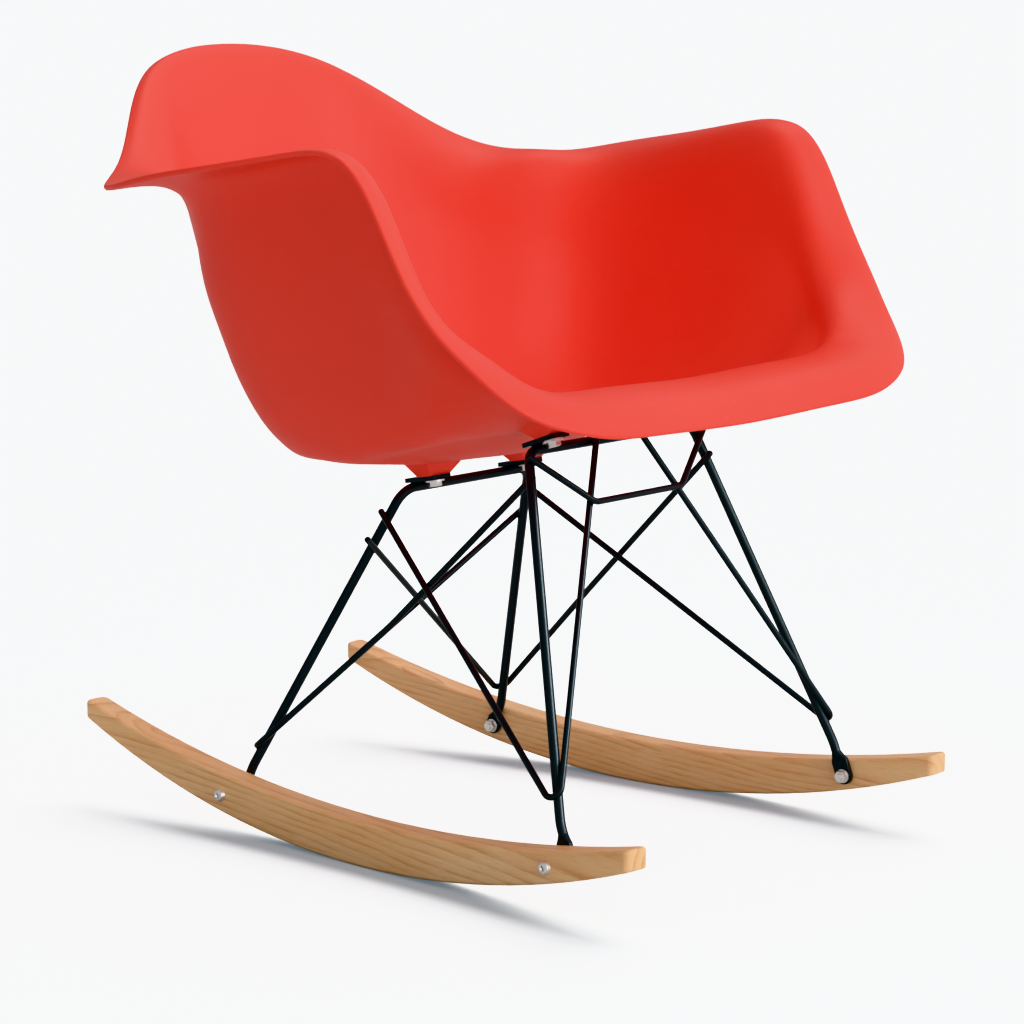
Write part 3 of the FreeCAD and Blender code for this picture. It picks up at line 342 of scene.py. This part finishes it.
def bare_metal(name, texture, wear, tones, speck, grain, drift, amount, rough, bump):
    """A metal surface, slightly clouded and with a few dull specks."""
    material, tree, shader, vector = new_material(name)
    skin = place_group(tree, texture, vector, Grain=grain, Drift=drift)
    marks = place_group(tree, wear, vector, Amount=amount)
    colour = blend_colours(tree, skin.outputs["Tone"], *tones)
    colour = blend_colours(tree, marks.outputs["Specks"], colour, speck)
    shader.inputs["Metallic"].default_value = 1.0
    feed_shader(tree, shader, colour, skin.outputs["Gloss"], *rough)
    add_bump(tree, shader, skin.outputs["Height"], bump, 0.0002)
    return material


def zinc_plate(texture, wear):
    """Bright zinc plate on the steel bolts, screws, nuts and washers."""
    return bare_metal("bright_zinc_plate", texture, wear,
                      tones=((0.80, 0.80, 0.80), (0.90, 0.89, 0.87)), speck=(0.33, 0.31, 0.28),
                      grain=2600.0, drift=120.0, amount=0.5, rough=(0.30, 0.46), bump=0.15)


def machined_brass(texture, wear):
    """Turned brass of the inserts moulded into the seat."""
    return bare_metal("machined_brass", texture, wear,
                      tones=((0.60, 0.42, 0.16), (0.74, 0.55, 0.24)), speck=(0.30, 0.20, 0.09),
                      grain=2200.0, drift=90.0, amount=0.6, rough=(0.24, 0.42), bump=0.2)


def studio_floor_paint():
    """Plain pale floor. The camera sees it paler than the chair does, so that it throws
    little light back up under the seat."""
    material, tree, shader, _ = new_material("pale_floor_paint")
    path = add_node(tree, "ShaderNodeLightPath")
    seen = path.outputs["Is Camera Ray"]
    paint = blend_colours(tree, seen, (0.19, 0.19, 0.19), (0.42, 0.42, 0.42))
    tree.links.new(paint, shader.inputs["Base Color"])
    shader.inputs["Roughness"].default_value = 1.0
    shader.inputs["Specular IOR Level"].default_value = 0.0
    shader.inputs["Emission Color"].default_value = (0.62, 0.84, 1.0, 1.0)
    tree.links.new(calc(tree, "MULTIPLY", seen, 0.20), shader.inputs["Emission Strength"])
    return material


def lay_floor(material):
    """The floor that the rockers rest on."""
    bpy.ops.mesh.primitive_plane_add(size=300.0, location=(0, 0, 0))
    floor = bpy.context.object
    floor.name = "studio_floor"
    floor.data.materials.append(material)
    return floor


# Where the rods and plates are welded: middle (mm), the way the weld runs, length (mm).
WELDS = [
    ((-62.0, 30.2, 308.7), (1.0, 0.0, 0.0), 25.0),
    ((62.0, 30.2, 308.7), (1.0, 0.0, 0.0), 25.0),
    ((-94.5, -134.5, 360.1), (1.0, 0.0, 0.02), 21.0),
    ((94.5, -134.5, 360.1), (1.0, 0.0, -0.02), 21.0),
    ((-183.5, -230.2, 102.3), (-0.43, -0.20, -0.88), 34.0),
    ((183.5, -230.2, 102.3), (0.43, -0.20, -0.88), 34.0),
    ((-164.4, 126.5, 77.9), (0.14, -0.65, 0.75), 21.0),
    ((165.5, 130.0, 73.4), (0.14, -0.72, 0.68), 13.0),
    ((-96.4, 40.2, 281.9), (0.34, 0.39, 0.86), 6.4),
    ((96.4, 40.2, 281.9), (0.37, -0.45, -0.81), 6.4),
    ((-101.6, 48.0, 251.5), (0.42, 0.41, -0.81), 8.0),
    ((101.9, 55.1, 254.9), (-0.49, 0.34, -0.80), 5.4),
    ((-59.5, -163.0, 311.0), (-0.57, -0.28, -0.77), 5.8),
    ((59.5, -163.0, 311.0), (0.57, -0.28, -0.77), 5.8),
    ((-29.7, -140.4, 358.2), (-0.70, -0.24, -0.67), 7.6),
    ((29.7, -140.4, 358.2), (0.72, -0.24, -0.65), 7.6),
    ((-114.1, -143.5, 348.8), (0.58, -0.35, -0.74), 7.6),
    ((114.1, -143.5, 348.8), (0.61, 0.34, 0.72), 7.6),
    ((-122.8, -31.0, 231.0), (-0.16, -0.98, -0.12), 8.8),
    ((130.9, -39.7, 225.8), (0.07, 0.83, -0.55), 5.9),
    ((115.4, -147.2, 324.0), (-0.20, -0.48, 0.86), 8.1),
]


def shape_one_bead():
    """A weld bead 10 mm long on X, drawn out and a little uneven."""
    bpy.ops.object.select_all(action="DESELECT")
    bpy.ops.mesh.primitive_uv_sphere_add(segments=16, ring_count=10, radius=0.0024)
    bead = bpy.context.object
    bead.name = "weld_bead"
    bpy.ops.object.mode_set(mode="EDIT")
    bpy.ops.mesh.select_all(action="SELECT")
    bpy.ops.transform.rotate(value=radians(90), orient_axis="Y", center_override=(0, 0, 0))
    bpy.ops.transform.resize(value=(2.08, 1.0, 1.0), center_override=(0, 0, 0))
    bpy.ops.transform.vertex_random(offset=0.00016, seed=4)
    bpy.ops.object.mode_set(mode="OBJECT")
    bpy.ops.object.shade_smooth()
    return bead


def weld_the_frame(material):
    """A bead in the groove of every welded joint of the black frame, as one piece."""
    pattern = shape_one_bead()
    beads = []
    for centre, way, length in WELDS:
        bead = pattern.copy()
        bead.data = pattern.data.copy()
        bpy.context.collection.objects.link(bead)
        bead.location = Vector(centre) / 1000
        bead.scale = (length / 10, 1.0, 1.0)
        bead.rotation_euler = Vector(way).to_track_quat("X", "Z").to_euler()
        beads.append(bead)
    bpy.data.objects.remove(pattern)
    bpy.ops.object.select_all(action="DESELECT")
    for bead in beads:
        bead.select_set(True)
    bpy.context.view_layer.objects.active = beads[0]
    bpy.ops.object.join()
    bpy.ops.object.transform_apply(location=True, rotation=True, scale=True)
    welds = bpy.context.object
    welds.name = "frame_weld_beads"
    welds.data.materials.append(material)
    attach(welds, "root")
    return welds


def gather(name, pieces):
    """A collection of the pieces that one lamp lights, or that block it."""
    group = bpy.data.collections.new(name)
    for piece in pieces:
        group.objects.link(piece)
    return group


def light_the_floor(floor, rockers):
    """A low lamp from the far side that only lights the floor, past the rockers."""
    lamp = soft_sun("floor_lamp", direction=(1.0, 0.20, 1.0), strength=12.4, width=50,
                    colour=(1.0, 0.985, 0.97))
    lamp.light_linking.receiver_collection = gather("lit_by_floor_lamp", [floor])
    lamp.light_linking.blocker_collection = gather("shading_the_floor", rockers)


def light_the_rods(rods):
    """A narrow lamp from the camera's right that only draws a line along the black rods."""
    lamp = soft_sun("rod_lamp", direction=(0.42, -0.90, 0.50), strength=2.6, width=18,
                    colour=(0.93, 0.98, 1.0))
    lamp.light_linking.receiver_collection = gather("lit_by_rod_lamp", rods)


def finish_for(name, finishes):
    """The finish of a solid, told by a word in its name."""
    for word, material in finishes:
        if word in name:
            return material
    return None


def dress_frame(finishes):
    """Gives each solid of the chair its finish."""
    for name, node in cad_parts.items():
        material = finish_for(name, finishes)
        for slot in node.material_slots:
            slot.material = material


set_up_camera()
light_the_studio()
texture = make_fine_texture()
wear = make_handling_wear()
grain = make_board_grain()
plastic = moulded_plastic(texture, wear)
black = powder_coat(texture, wear)
wood = lacquered_hardwood(grain, wear)
zinc = zinc_plate(texture, wear)
brass = machined_brass(texture, wear)
floor = lay_floor(studio_floor_paint())
light_the_floor(floor, [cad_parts["left_rocker"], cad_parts["right_rocker"]])
dress_frame([
    ("seat_shell", plastic),
    ("insert", brass),
    ("seat_bolt", zinc), ("seat_washer", zinc),
    ("rocker_screw", zinc), ("rocker_washer", zinc), ("rocker_nut", zinc),
    ("left_rocker", wood), ("right_rocker", wood),
    ("mounting_plate", black), ("frame_rod", black), ("brace", black), ("cross_rod", black),
])

welds = weld_the_frame(black)
rods = [node for name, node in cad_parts.items() if "rod" in name or "brace" in name]
light_the_rods([welds] + rods)
